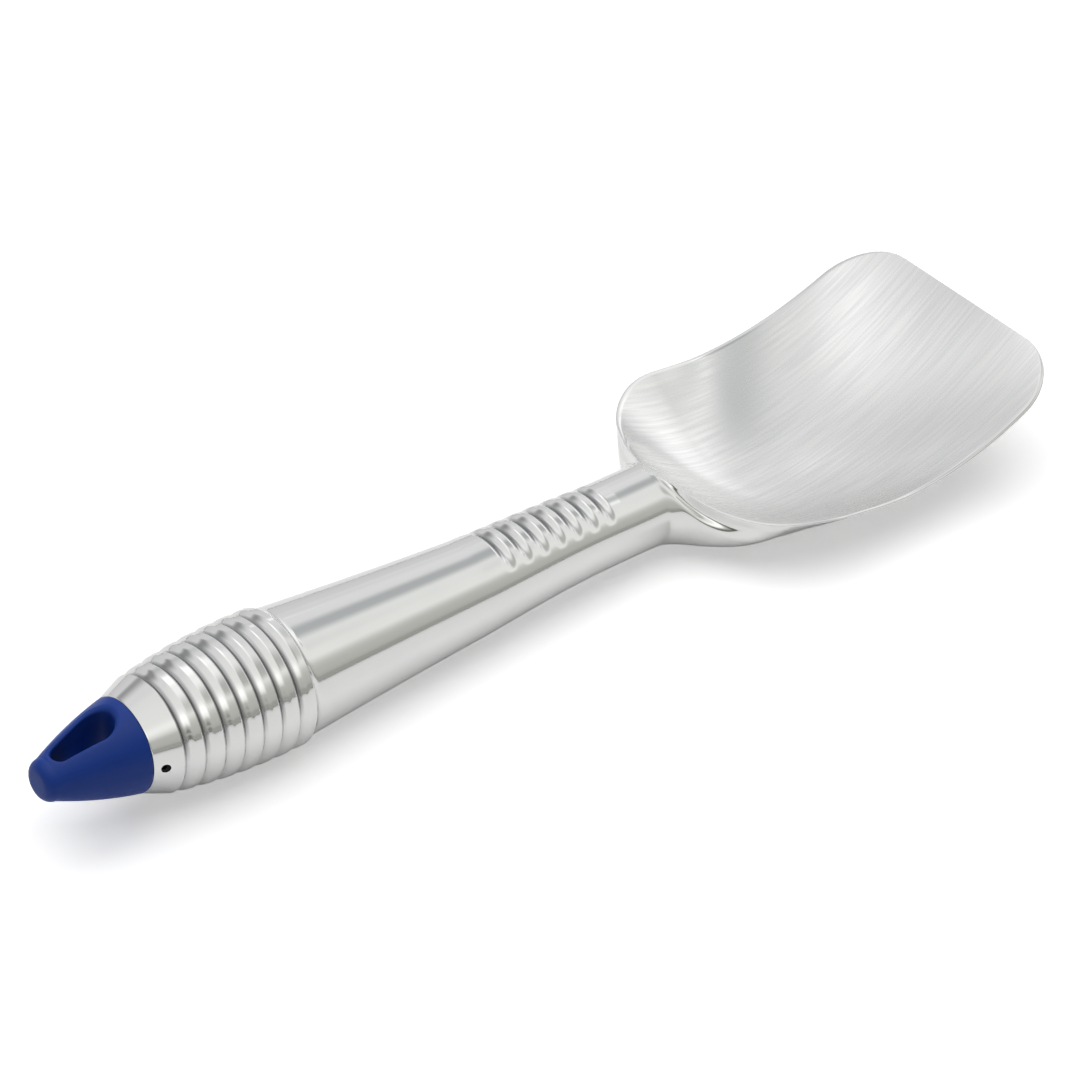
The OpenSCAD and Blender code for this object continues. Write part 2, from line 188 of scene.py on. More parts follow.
class SpadeFinish(bpy.types.PropertyGroup):
    """Colours and gloss"""
    aluminium: hex_colour("Polished aluminium", "Colour of the polished casting", "#E0E0DE")
    brushed: hex_colour("Brushed aluminium", "Colour of the brushed bowl", "#E4E4E2")
    cap: hex_colour("Cap plastic", "Colour of the end cap", "#0A3486")
    polish: finish("Polish", "Roughness of the polished casting", 0.085)
    brush: finish("Brush", "Roughness of the brushed bowl", 0.25)
    satin: finish("Satin", "Roughness of the cap plastic", 0.42)


class SpadeRest(bpy.types.PropertyGroup):
    """How the spade lies: drawn along its axis, then laid on its rings and its belly"""
    tilt: degrees("Tilt", "Nose-down tilt at rest", 2.2132)
    floor_z: length("Floor", "Depth of the floor under the handle axis", 15.2532)
    middle_x: length("Middle", "Middle of the length, from the cap joint", 94.6786)


# Small helpers

def linear(code):
    """sRGB hex to linear RGBA."""
    parts = [int(code[i:i + 2], 16) / 255.0 for i in (1, 3, 5)]
    return [c / 12.92 if c <= 0.04045 else ((c + 0.055) / 1.055) ** 2.4 for c in parts] + [1.0]


def add_node(tree, kind, links=None, **settings):
    """Adds one node, whose kind goes without its family.

    Links are given by an input's name or number. A node as a value means its first output in use.
    """
    family = next(f for f in ("ShaderNode", "GeometryNode", "Node") if hasattr(bpy.types, f + kind))
    made = tree.nodes.new(family + kind)
    for key, value in settings.items():
        setattr(made, key, value)
    for key, value in (links or {}).items():
        if isinstance(value, bpy.types.Node):
            value = next(socket for socket in value.outputs if socket.enabled)
        if isinstance(value, bpy.types.NodeSocket):
            tree.links.new(value, made.inputs[key])
        else:
            made.inputs[key].default_value = value
    return made


def ease(a, b, t):
    return a + (b - a) * (1 - np.cos(np.pi * np.clip(t, 0, 1))) / 2


def mix(a, b, t):
    return a + (b - a) * np.clip(t, 0, 1)


def arc(r, off):
    """Height of a round arc at a distance from its middle."""
    return math.sqrt(max(0, r ** 2 - off ** 2))


class Skin:
    """Collects points and faces of one closed shell."""

    def __init__(self):
        self.points = []
        self.faces = []
        self.marks = []
        self.total = 0

    def add(self, points):
        points = np.asarray(points, float).reshape(-1, 3)
        first = self.total
        self.points.append(points)
        self.total += len(points)
        return np.arange(first, self.total)

    def face(self, corners, mark=POLISHED):
        self.faces.append([int(c) for c in corners])
        self.marks.append(mark)

    def strip(self, a, b, closed=True, skip=()):
        """Quads between two rows of points."""
        n = len(a)
        for i in range(n if closed else n - 1):
            if i not in skip:
                j = (i + 1) % n
                self.face((a[i], a[j], b[j], b[i]))

    def grow(self, row, points):
        """A new closed row of points, joined to the row before it."""
        made = self.add(points)
        self.strip(row, made)
        return made

    def mesh(self, name):
        made = bpy.data.meshes.new(name)
        made.from_pydata(np.concatenate(self.points).tolist(), [], self.faces)
        made.attributes.new(FACE_MARK, "INT", "FACE").data.foreach_set("value", self.marks)
        shell = bmesh.new()
        shell.from_mesh(made)
        bmesh.ops.remove_doubles(shell, verts=shell.verts, dist=SAME_SPOT)
        bmesh.ops.dissolve_degenerate(shell, dist=SAME_SPOT / 10, edges=shell.edges)
        bmesh.ops.recalc_face_normals(shell, faces=shell.faces)
        shell.to_mesh(made)
        shell.free()
        made.polygons.foreach_set("use_smooth", [True] * len(made.polygons))
        made.update()
        return made


def section(x, y, z):
    """Points at one place along the axis."""
    return np.column_stack([np.full(len(y), x), y, z])


def place(obj):
    bpy.context.scene.collection.objects.link(obj)
    return obj


# Shape of the casting, along the handle axis

class Handle:
    """Radius and centre of the handle at a place along its axis."""

    def __init__(self, h):
        self.h = h
        self.first_edge = h.first_groove_x - h.ring_steep_w
        self.edges = [self.first_edge + h.ring_pitch * k for k in range(h.ring_count + 1)]
        self.ring_end = self.edges[-1]
        self.grip_x = self.ring_end + h.grip_step_l
        self.swell_fall = (h.swell_d - h.first_ring_d) / 2 / (h.swell_x - self.first_edge) ** 2
        self.thumb_end = h.thumb_x + h.thumb_pitch * (h.thumb_count - 1)
        self.front_x = 80 * MM  # where the rise to the neck starts
        self.taper_power = 1.5
        self.step_power = 2.5
        self.thumb_rise = 0.3 * MM

    def swell(self, x):
        return self.h.swell_d / 2 - self.swell_fall * (x - self.h.swell_x) ** 2

    def taper(self, x):
        h = self.h
        left = np.maximum(0, h.neck_x - x) / (h.neck_x - self.grip_x)
        return h.neck_d / 2 + (h.grip_d - h.neck_d) / 2 * left ** self.taper_power

    def radius(self, x):
        h = self.h
        if x < self.first_edge:
            return mix(h.joint_d / 2, h.first_ring_d / 2, x / self.first_edge)
        if x <= self.ring_end:
            return self.swell(x)
        if x < self.grip_x:
            left = 1 - (x - self.ring_end) / h.grip_step_l
            step = self.swell(self.ring_end) - self.taper(self.ring_end)
            return self.taper(x) + step * left ** self.step_power
        return self.taper(x)

    def lift(self, x):
        h = self.h
        along = (x - self.front_x) / (self.thumb_end - self.front_x)
        over = (x - self.front_x) / (self.thumb_end + h.thumb_pitch - self.front_x)
        return ease(0, h.neck_lift, along) + self.thumb_rise * math.sin(math.pi * np.clip(over, 0, 1))


class Blade:
    """Outline and heights of the blade at a place along the handle axis."""

    def __init__(self, b, h):
        self.b, self.h = b, h
        self.tip_x = b.start_x + b.length_x
        self.half_w = b.width / 2
        self.corner_x = b.start_x + b.shoulder_l
        self.sweep = math.atan2(self.half_w, b.shoulder_l)
        turn = b.shoulder_r * math.tan(self.sweep / 2)
        self.shoulder_end = self.corner_x + turn
        self.shoulder_start = self.corner_x - turn * math.cos(self.sweep)
        self.bowl_x = b.start_x + b.bowl_l
        self.belly_x = b.start_x + b.belly_l
        self.neck_r = h.neck_d / 2
        self.tip_start = self.tip_x - b.tip_r
        self.valley_lean = 0.7  # under 1 puts the valley's bottom nearer to the lip

    def half(self, x):
        b = self.b
        if x <= self.shoulder_start:
            out = (x - b.start_x) * math.tan(self.sweep)
        elif x <= self.shoulder_end:
            out = self.half_w - b.shoulder_r + arc(b.shoulder_r, self.shoulder_end - x)
        elif x <= self.tip_start:
            out = self.half_w
        else:
            out = self.half_w - b.tip_r + arc(b.tip_r, x - self.tip_x + b.tip_r)
        bow = b.side_bow * math.sin(
            math.pi * np.clip((x - self.corner_x) / (self.tip_x - self.corner_x), 0, 1))
        return max(0, out) + bow

    def rim(self, x):
        b = self.b
        u = x - b.start_x
        stops = ((0, b.rim_start_z), (b.rim_dip_l, b.rim_dip_z),
                 (b.rim_shoulder_l, b.rim_shoulder_z), (b.rim_waist_l, b.rim_waist_z))
        for (a, z), (next_a, next_z) in zip(stops, stops[1:]):
            if u < next_a:
                return ease(z, next_z, (u - a) / (next_a - a))
        return mix(b.rim_waist_z, b.tip_z, ((u - b.rim_waist_l) / (b.length_x - b.rim_waist_l)) ** 2)

    def spine(self, x):
        b = self.b
        if x < self.bowl_x:
            down = math.sin(math.pi / 2 * max(0, (x - b.start_x) / b.bowl_l))
            return b.bowl_z + (b.rim_start_z - b.bowl_z) * (1 - down)
        return mix(b.bowl_z, b.tip_z, ((x - self.bowl_x) / (self.tip_x - self.bowl_x)) ** 2)

    def belly(self, x):
        b, h = self.b, self.h
        if x < self.belly_x:
            return ease(h.neck_lift - self.neck_r, b.bowl_z - b.belly_t,
                        (x - h.neck_x) / (self.belly_x - h.neck_x))
        on = (x - self.belly_x) / (self.tip_x - self.belly_x)
        return mix(b.bowl_z, b.tip_z, on ** 2) - mix(b.belly_t, b.tip_t, on)

    def lip(self, x):
        """Width of the lip across the blade, wider where the outline runs aslant."""
        step = 0.05 * MM
        slope = (self.half(x + step) - self.half(x - step)) / (2 * step)
        if x > self.tip_start:
            slope = 0
        return min(self.b.lip_w * math.hypot(1, slope), self.half(x) / 2)

    def edge(self, x):
        b = self.b
        return self.rim(x) - b.lip_drop * ease(0, 1, (x - b.start_x) / b.lip_grow_l)

    def outer(self, x, sides):
        """From one edge round under the belly to the other edge."""
        b = self.b
        u = x - b.start_x
        left = math.cos(math.pi / 2 * min(1, u / b.flare_l))
        half = math.hypot(self.half(x), self.neck_r * left)
        edge_angle = math.acos(min(1, self.half(x) / half))
        drop = (self.edge(x) - self.belly(x)) / (1 + math.sin(edge_angle))
        middle = self.belly(x) + drop
        power = mix(1, 2, (u - b.flat_start_l) / b.flat_l)
        a = np.linspace(math.pi - edge_angle, 2 * math.pi + edge_angle, sides + 1)
        s = np.sin(a)
        rise = np.where(s < 0, -np.abs(s) ** power, s)
        line = np.column_stack([half * np.cos(a), middle + drop * rise])
        along = np.gradient(line, axis=0)
        along /= np.linalg.norm(along, axis=1)[:, None]
        run = np.append(0, np.cumsum(np.linalg.norm(np.diff(line, axis=0), axis=1)))
        below = np.minimum(run, run[-1] - run) / b.valley_w
        there = ease(0, 1, (u - b.valley_start_l) / b.valley_grow_l) * (
            1 - ease(0, 1, (u - b.valley_fade_l) / b.valley_grow_l))
        dent = b.valley_depth * there * np.sin(np.pi * np.clip(below, 0, 1) ** self.valley_lean) ** 2
        line += np.column_stack([-along[:, 1], along[:, 0]]) * dent[:, None]
        return section(x, *line.T)

    def inner(self, x, cells):
        """Back over the bowl, with the rounded lip at both ends."""
        half, rim, spine = self.half(x), self.rim(x), self.spine(x)
        v = np.cos(np.pi * np.arange(1, cells) / cells)
        into = np.clip(1 - half * (1 - np.abs(v)) / max(self.lip(x), 1e-9), 0, 1)
        fall = (rim - self.edge(x)) * (1 - np.sqrt(np.maximum(0, 1 - into ** 2)))
        z = spine + (rim - spine) * v ** 2 - fall
        return section(x, half * v, z)


def spaced(stops):
    """Places along the axis from (end, step) pairs."""
    out = [stops[0][0]]
    for (a, _), (b, step) in zip(stops, stops[1:]):
        cells = max(1, round((b - a) / step))
        out += [a + (b - a) * i / cells for i in range(1, cells + 1)]
    return out


def pin_window(skin, rows, wall_r, side, middle, h):
    """Fills the window left in a round wall with rings that close in on the pin hole."""
    first, *between, last = rows
    cols = np.arange(middle - WINDOW_REACH, middle + WINDOW_REACH + 1)
    row = np.array([*first[cols], *(r[cols[-1]] for r in between),
                    *last[cols[::-1]], *(r[cols[0]] for r in between[::-1])])
    flat = np.concatenate(skin.points)[row][:, (0, 2)] - (h.pin_x, 0)
    angle = np.arctan2(flat[:, 1], flat[:, 0])
    rim = np.column_stack([np.cos(angle), np.sin(angle)]) * (h.pin_hole_d / 2)
    for t in (0.35, 0.62, 0.82, 0.94, 1.0):
        spots = flat * (1 - t) + rim * t + (h.pin_x, 0)
        row = skin.grow(row, [(x, side * arc(wall_r(x), z), z) for x, z in spots])
    return row


def casting_skin(h, b):
    """The casting without its grooves, along the handle axis."""
    handle, blade = Handle(h), Blade(b, h)
    skin = Skin()
    from_top = 2 * np.pi * np.arange(SIDES) / SIDES
    across, up = -np.sin(from_top), np.cos(from_top)

    def ring(x, half_w, half_h=None, centre=0):
        half_h = half_w if half_h is None else half_h
        return section(x, half_w * across, centre + half_h * up)

    # Round wall with the pin's window on both sides; inner and outer wall share one grid
    edge_r = 0.3 * MM
    rounded = ((0, -edge_r), (0.04 * MM, -0.19 * MM), (0.12 * MM, -0.06 * MM), (edge_r, 0))
    window = np.linspace(h.pin_x - PIN_WINDOW, h.pin_x + PIN_WINDOW, 2 * WINDOW_REACH + 1)
    quarter = SIDES // 4
    skip = set(range(quarter - WINDOW_REACH, quarter + WINDOW_REACH))
    skip |= {SIDES // 2 + i for i in skip}
    mouths = {}
    for wall, turn, wall_r in (("outer", 1, handle.radius), ("inner", -1, lambda x: h.socket_d / 2)):
        rows = [skin.add(ring(x, wall_r(edge_r) + turn * d)) for x, d in rounded]
        lead = len(rows)
        rows += [skin.add(ring(x, wall_r(x))) for x in window]
        for k in range(len(rows) - 1):
            skin.strip(rows[k], rows[k + 1], skip=skip if k >= lead else ())
        for side, middle in ((-1, quarter), (1, 3 * quarter)):
            mouths[wall, side] = pin_window(skin, rows[lead:], wall_r, side, middle, h)
        mouths[wall, "end"] = rows[0]
        mouths[wall, "on"] = rows[-1]
    for mouth in ("end", -1, 1):
        skin.strip(mouths["outer", mouth], mouths["inner", mouth])

    # Socket and chamber
    row = mouths["inner", "on"]
    for x, d in ((h.socket_l, h.socket_d), (h.socket_l, h.chamber_d), (h.chamber_end_x, h.chamber_d)):
        row = skin.grow(row, ring(x, d / 2))
    skin.face(row)

    # Handle as far as the neck: fine rows over the grooves, coarse ones over the plain grip
    row = mouths["outer", "on"]
    stops = [(window[-1], 0), (handle.first_edge - 0.3 * MM, 0.3 * MM)]
    for edge in handle.edges[:-1]:
        stops += [(edge - 0.1 * MM, 0.25 * MM), (edge + h.ring_steep_w, 0.1 * MM),
                  (edge + h.ring_steep_w + h.ring_gentle_w, 0.2 * MM)]
    stops += [(handle.ring_end - 0.1 * MM, 0.25 * MM), (handle.ring_end, 0.1 * MM),
              (handle.grip_x, 0.12 * MM), (handle.front_x, 1.4 * MM),
              (handle.thumb_end + h.thumb_pitch, 0.15 * MM), (h.neck_x, 0.4 * MM)]
    for x in spaced(stops)[1:]:
        row = skin.grow(row, ring(x, handle.radius(x), centre=handle.lift(x)))
    for x in spaced([(h.neck_x, 0), (b.start_x, 0.4 * MM)])[1:]:
        t = (x - h.neck_x) / (b.start_x - h.neck_x)
        top = ease(h.neck_lift + blade.neck_r, b.rim_start_z, t)
        low = blade.belly(x)
        row = skin.grow(row, ring(x, blade.neck_r, (top - low) / 2, (top + low) / 2))

    # Blade: each section runs under the belly and back over the bowl
    apex = row[0]
    row = np.append(row, apex)
    xs = [b.start_x + (blade.tip_start - b.start_x) * (i / BLADE_ROWS) ** ROW_CROWD
          for i in range(1, BLADE_ROWS + 1)]
    xs += [blade.tip_start + b.tip_r * math.sin(math.pi / 2 * i / TIP_ROWS) for i in range(1, TIP_ROWS + 1)]
    bowl = None
    cell_v = np.cos(np.pi * (np.arange(BOWL_CELLS) + 0.5) / BOWL_CELLS)
    for x in xs:
        under = skin.add(blade.outer(x, SIDES))
        over = skin.add(blade.inner(x, BOWL_CELLS))
        skin.strip(row, under, closed=False)
        back = np.concatenate([[under[-1]], over, [under[0]]])
        on_lip = blade.half(x) * (1 - np.abs(cell_v)) < blade.lip(x)
        for j in range(BOWL_CELLS):
            if bowl is None:
                skin.face((apex, back[j + 1], back[j]), BRUSHED)
            else:
                skin.face((bowl[j], bowl[j + 1], back[j + 1], back[j]), POLISHED if on_lip[j] else BRUSHED)
        row, bowl = under, back
    skin.face(list(row) + list(bowl[1:-1]))
    return skin


# Grooves: how their walls turn rougher and take a painted shade of dark grey, as shares of a groove's side and of
# the way to the top

# The painted shade lies on the wall next to the cap and is strongest on top of the handle
DULL_SHADE_MIDDLE, DULL_SHADE_REACH = 0.25, 0.65  # on the wall next to the cap
RING_SIDE_DULL_SHADE, RING_TOP = 0.15, 0.3  # ring grooves: dullness at the sides, and where the full dullness starts
THUMB_DULL_SHADE_FROM, THUMB_DULL_SHADE_SPAN = 0.5, 0.45  # thumb grooves: only near the top


def groove_sums(name, before, after, sharp):
    """Sums for one row of grooves: a result, a value, and operations with a second value, True for clamped.

    The profile is 1 at the bottom of the nearest groove, the dullness (rougher metal with painted shade) 1 on its
    wall next to the cap.
    """
    first, pitch, total = f"First {name} groove", f"{name.title()} pitch", f"{name.title()} grooves"
    return (
        ("place", "x", ("SUBTRACT", first), ("DIVIDE", pitch)),
        ("last", total, ("SUBTRACT", 1.0)),
        ("nearest", "place", ("ROUND", 0.0), ("MINIMUM", "last"), ("MAXIMUM", 0.0)),
        ("off", "place", ("SUBTRACT", "nearest"), ("MULTIPLY", pitch)),
        ("ahead", "off", ("LESS_THAN", 0.0)),
        ("width", before, ("SUBTRACT", after), ("MULTIPLY", "ahead"), ("ADD", after)),
        ("along", "off", ("DIVIDE", "width")),
        ("out", "along", ("ABSOLUTE", 0.0)),
        ("square", "out", ("MULTIPLY", "out")),
        ("straight", 1.0, ("SUBTRACT", "out", True)),
        ("curved", 1.0, ("SUBTRACT", "square", True), ("POWER", 2.0)),
        ("steep", "straight", ("SUBTRACT", "curved"), ("MULTIPLY", "ahead"), ("MULTIPLY", sharp)),
        (f"{name} profile", "curved", ("ADD", "steep")),
        ("wall", "along", ("ADD", DULL_SHADE_MIDDLE), ("DIVIDE", DULL_SHADE_REACH)),
        ("square", "wall", ("MULTIPLY", "wall")),
        (f"{name} dull", 1.0, ("SUBTRACT", "square", True)),
    )


def groove_tree(h, rest, polished, brushed):
    """Geometry Nodes that press the ring and thumb grooves into the plain casting and lay it down."""
    tree = bpy.data.node_groups.new("Spade grooves", "GeometryNodeTree")
    add = partial(add_node, tree)
    face = tree.interface
    face.new_socket("Geometry", in_out="INPUT", socket_type="NodeSocketGeometry")
    numbers = {
        "First ring groove": h.first_groove_x, "Ring pitch": h.ring_pitch, "Ring grooves": float(h.ring_count),
        "Ring steep side": h.ring_steep_w, "Ring gentle side": h.ring_gentle_w, "Ring depth": h.ring_groove_depth,
        "First thumb groove": h.thumb_x, "Thumb pitch": h.thumb_pitch, "Thumb grooves": float(h.thumb_count),
        "Thumb width": h.thumb_w, "Thumb depth": h.thumb_depth, "Thumb reach": math.cos(h.thumb_reach)}
    inputs = {}
    for kind, values in (
            ("Float", numbers),
            ("Vector", {"Rest place": (-rest.middle_x, 0, rest.floor_z), "Rest turn": (0, rest.tilt, 0)}),
            ("Material", {"Polished": polished, "Brushed": brushed})):
        for label, value in values.items():
            socket = face.new_socket(label, in_out="INPUT", socket_type="NodeSocket" + kind)
            inputs[socket.identifier] = value
    face.new_socket("Geometry", in_out="OUTPUT", socket_type="NodeSocketGeometry")

    given = add("GroupInput").outputs
    axes = add("SeparateXYZ", {0: add("InputPosition")}).outputs
    out = add("CombineXYZ", {1: axes[1], 2: axes[2]})
    radial = add("VectorMath", {0: out}, operation="NORMALIZE")
    skin = add("InputNamedAttribute", {"Name": GROOVED_SKIN}, data_type="FLOAT")
    known = {label: given[label] for label in numbers}
    known |= {"x": axes[0], "skin": skin, "top": add("SeparateXYZ", {0: radial}).outputs[2]}
    for result, value, *steps in (
            *groove_sums("ring", "Ring steep side", "Ring gentle side", 1.0),
            ("thumb half", "Thumb width", ("MULTIPLY", 0.5)),
            *groove_sums("thumb", "thumb half", "thumb half", 0.0),
            ("to top", 1.0, ("SUBTRACT", "Thumb reach")),
            ("over top", "top", ("SUBTRACT", "Thumb reach"), ("DIVIDE", "to top", True)),
            ("ring cut", "ring profile", ("MULTIPLY", "Ring depth")),
            ("thumb cut", "thumb profile", ("MULTIPLY", "over top"), ("MULTIPLY", "Thumb depth")),
            ("cut", "ring cut", ("ADD", "thumb cut"), ("MULTIPLY", "skin"), ("MULTIPLY", -1.0)),
            ("on top", "top", ("DIVIDE", RING_TOP, True), ("MULTIPLY", 1 - RING_SIDE_DULL_SHADE),
             ("ADD", RING_SIDE_DULL_SHADE)),
            ("near top", "over top", ("SUBTRACT", THUMB_DULL_SHADE_FROM), ("DIVIDE", THUMB_DULL_SHADE_SPAN, True)),
            ("thumb dull", "thumb dull", ("MULTIPLY", "near top")),
            ("dull", "ring dull", ("MULTIPLY", "on top"), ("ADD", "thumb dull"), ("MULTIPLY", "skin"))):
        value = known.get(value, value)
        for operation, other, *clamp in steps:
            value = add("Math", {0: value, 1: known.get(other, other)}, operation=operation, use_clamp=bool(clamp))
        known[result] = value

    shift = add("VectorMath", {0: radial, "Scale": known["cut"]}, operation="SCALE")
    mark = add("InputNamedAttribute", {"Name": FACE_MARK}, data_type="INT")
    # Stores the groove walls' dullness, which the polished metal turns into more roughness and a painted shade of
    # dark grey
    shape = add("StoreNamedAttribute", {"Geometry": given["Geometry"], "Name": DULL_SHADED_WALLS, "Value": known["dull"]},
                data_type="FLOAT", domain="POINT")
    for kind, links in (
            ("SetPosition", {"Offset": shift}),
            ("Transform", {"Translation": given["Rest place"], "Rotation": given["Rest turn"]}),
            ("RealizeInstances", {}),
            ("SetMaterial", {"Material": given["Polished"]}),
            ("SetMaterial", {"Selection": mark, "Material": given["Brushed"]})):
        shape = add(kind, {"Geometry": shape, **links})
    add("GroupOutput", {0: shape})
    return tree, inputs


# Materials

NOISE_SPAN = {"From Min": 0.3, "From Max": 0.7}  # where most values of a noise lie
DULL_ROUGHNESS = 0.2  # that an unpolished wall adds


def fresh(name, kind="materials"):
    """An empty material or world, and the function that adds nodes to it."""
    made = getattr(bpy.data, kind).new(name)
    made.use_nodes = True
    made.node_tree.nodes.clear()
    return made, partial(add_node, made.node_tree)


def close_material(made, shader):
    add_node(made.node_tree, "OutputMaterial", {"Surface": shader})
    return made


def stretched_noise(add, source, size_mm, detail, seed=(0.0, 0.0, 0.0)):
    """Noise whose cells have the given sizes along the axes of the object or of a UV map."""
    if source == "Object":
        spot, unit = add("TexCoord").outputs["Object"], 1 / MM
    else:
        spot, unit = add("UVMap", uv_map=source), UV_UNIT / MM
    fitted = add("Mapping", {"Vector": spot, "Location": seed, "Scale": [unit / s for s in size_mm]})
    return add("TexNoise", {"Vector": fitted, "Scale": 1.0, "Detail": detail, "Roughness": 0.6})


def polished_aluminium(look):
    """Cast aluminium buffed on a soft wheel: a mirror with a faint haze that comes and goes.

    The wheel doesn't reach into the grooves, which stay rougher on the wall next to the cap; their dark grey there
    is painted shade, most on top.
    """
    made, add = fresh("Polished cast aluminium")
    haze = stretched_noise(add, "Object", (9.0, 5.0, 5.0), 3.0)
    rough = add("MapRange", {
        "Value": haze, **NOISE_SPAN, "To Min": look.polish * 0.85, "To Max": look.polish * 1.2})
    tint = add("Mix", {"Factor": haze, 6: linear(look.aluminium), 7: linear("#DADBDA")}, data_type="RGBA")
    dull = add("Attribute", attribute_name=DULL_SHADED_WALLS).outputs["Fac"]
    rough = add("Math", {0: dull, 1: DULL_ROUGHNESS, 2: rough}, operation="MULTIPLY_ADD")
    # Painted shade: the groove walls turn dark grey, standing in for the shade inside the grooves
    tint = add("Mix", {"Factor": dull, 6: tint, 7: linear("#737476")}, data_type="RGBA")
    return close_material(made, add("BsdfPrincipled", {"Base Color": tint, "Metallic": 1.0, "Roughness": rough}))


def brushed_aluminium(look):
    """Cast aluminium brushed along the blade: long soft streaks that spread light sideways."""
    made, add = fresh("Brushed cast aluminium")
    # Across and along the blade. Real brush lines, about 0.1 mm wide, are too fine to show and drawn coarser
    fine = stretched_noise(add, BRUSH_MAP, (0.7, 16.0, 100.0), 1.5)
    broad = stretched_noise(add, BRUSH_MAP, (2.4, 80.0, 100.0), 2.0, (3.0, 1.0, 0.0))
    rough = add("MapRange", {"Value": fine, **NOISE_SPAN, "To Min": look.brush * 0.85, "To Max": look.brush * 1.2})
    height = add("Math", {0: fine, 1: broad}, operation="ADD")
    bump = add("Bump", {"Height": height, "Strength": 0.01, "Distance": 0.1 * MM})
    streak = add("MapRange", {"Value": fine, "From Min": 0.35, "From Max": 0.65})
    tint = add("Mix", {"Factor": streak, 6: linear(look.brushed), 7: linear("#D9DAD9")}, data_type="RGBA")
    lines = add("Tangent", direction_type="UV_MAP", uv_map=BRUSH_MAP)
    return close_material(made, add("BsdfPrincipled", {
        "Base Color": tint, "Metallic": 1.0, "Roughness": rough, "Anisotropic": 0.6,
        "Normal": bump, "Tangent": lines}))


def satin_plastic(look):
    """Injection-moulded polypropylene: deep blue with painted shade in the hanging hole, satin from a fine
    spark-eroded mould.
    """
    made, add = fresh("Satin moulded polypropylene")
    # The mould's real grain, about 0.03 mm, is too fine to show and drawn coarser
    grain = stretched_noise(add, "Object", (0.18, 0.18, 0.18), 2.0)
    flow = stretched_noise(add, "Object", (9.0, 5.0, 5.0), 2.0)
    tint = add("Mix", {"Factor": flow, 6: linear(look.cap), 7: linear("#0C388E")}, data_type="RGBA")
    # Painted shade: the hanging hole goes nearly black, its walls drawn darker the more they close each other in
    unshaded_share = add("AmbientOcclusion", {"Distance": 6 * MM}, samples=8, only_local=True)
    unshaded_share = add("MapRange", {"Value": unshaded_share.outputs["AO"], "From Min": 0.3, "From Max": 0.8})
    tint = add("Mix", {"Factor": unshaded_share, 6: linear("#060B1A"), 7: tint}, data_type="RGBA")
    rough = add("MapRange", {"Value": flow, **NOISE_SPAN, "To Min": look.satin * 0.9, "To Max": look.satin * 1.1})
    bump = add("Bump", {"Height": grain, "Strength": 0.06, "Distance": 0.02 * MM})
    return close_material(made, add("BsdfPrincipled", {
        "Base Color": tint, "Roughness": rough, "IOR": 1.49, "Specular IOR Level": 0.22, "Normal": bump}))


def plain_material(name, light, dark, cell_mm, values):
    """A hidden or tiny piece: two close tones in a fine grain, with the shader's other values."""
    made, add = fresh(name)
    grain = stretched_noise(add, "Object", (cell_mm,) * 3, 2.0)
    tint = add("Mix", {"Factor": grain, 6: linear(light), 7: linear(dark)}, data_type="RGBA")
    return close_material(made, add("BsdfPrincipled", {"Base Color": tint, **values}))


# Shape of the cap, back from the joint

class Cap:
    """A bulged cone with a rounded end and a teardrop hole."""

    def __init__(self, c):
        self.c = c
        self.shoulder = c.length_x - c.end_r
        self.wide_r, self.narrow_r = c.hole_wide_d / 2, c.hole_narrow_d / 2
        self.span = c.hole_narrow_l - c.hole_wide_l
        self.narrowing = (self.wide_r - self.narrow_r) / self.span

    def radius(self, l):
        c = self.c
        at = min(l, self.shoulder)
        r = mix(c.joint_d, c.end_d, at / c.length_x) / 2
        r += 4 * c.bulge * at * (c.length_x - at) / c.length_x ** 2
        if l > self.shoulder:
            r -= c.end_r - arc(c.end_r, l - self.shoulder)
        if l < c.joint_r:
            r -= c.joint_r - arc(c.joint_r, c.joint_r - l)
        return r

    def hole_gap(self, l, y):
        """Distance outside the teardrop outline."""
        k = self.narrowing
        py, px = l - self.c.hole_wide_l, abs(y)
        side = math.sqrt(1 - k * k)
        along = side * py - k * px
        if along < 0:
            return math.hypot(px, py) - self.wide_r
        if along > side * self.span:
            return math.hypot(px, py - self.span) - self.narrow_r
        return px * side + py * k - self.wide_r

    def height(self, l, y):
        """Half the height of the cap, rounded off towards the hole."""
        top = arc(self.radius(l), y)
        gap = max(0, self.hole_gap(l, y))
        r = self.c.hole_round
        if gap < r:
            top -= r - arc(r, r - gap)
        return top


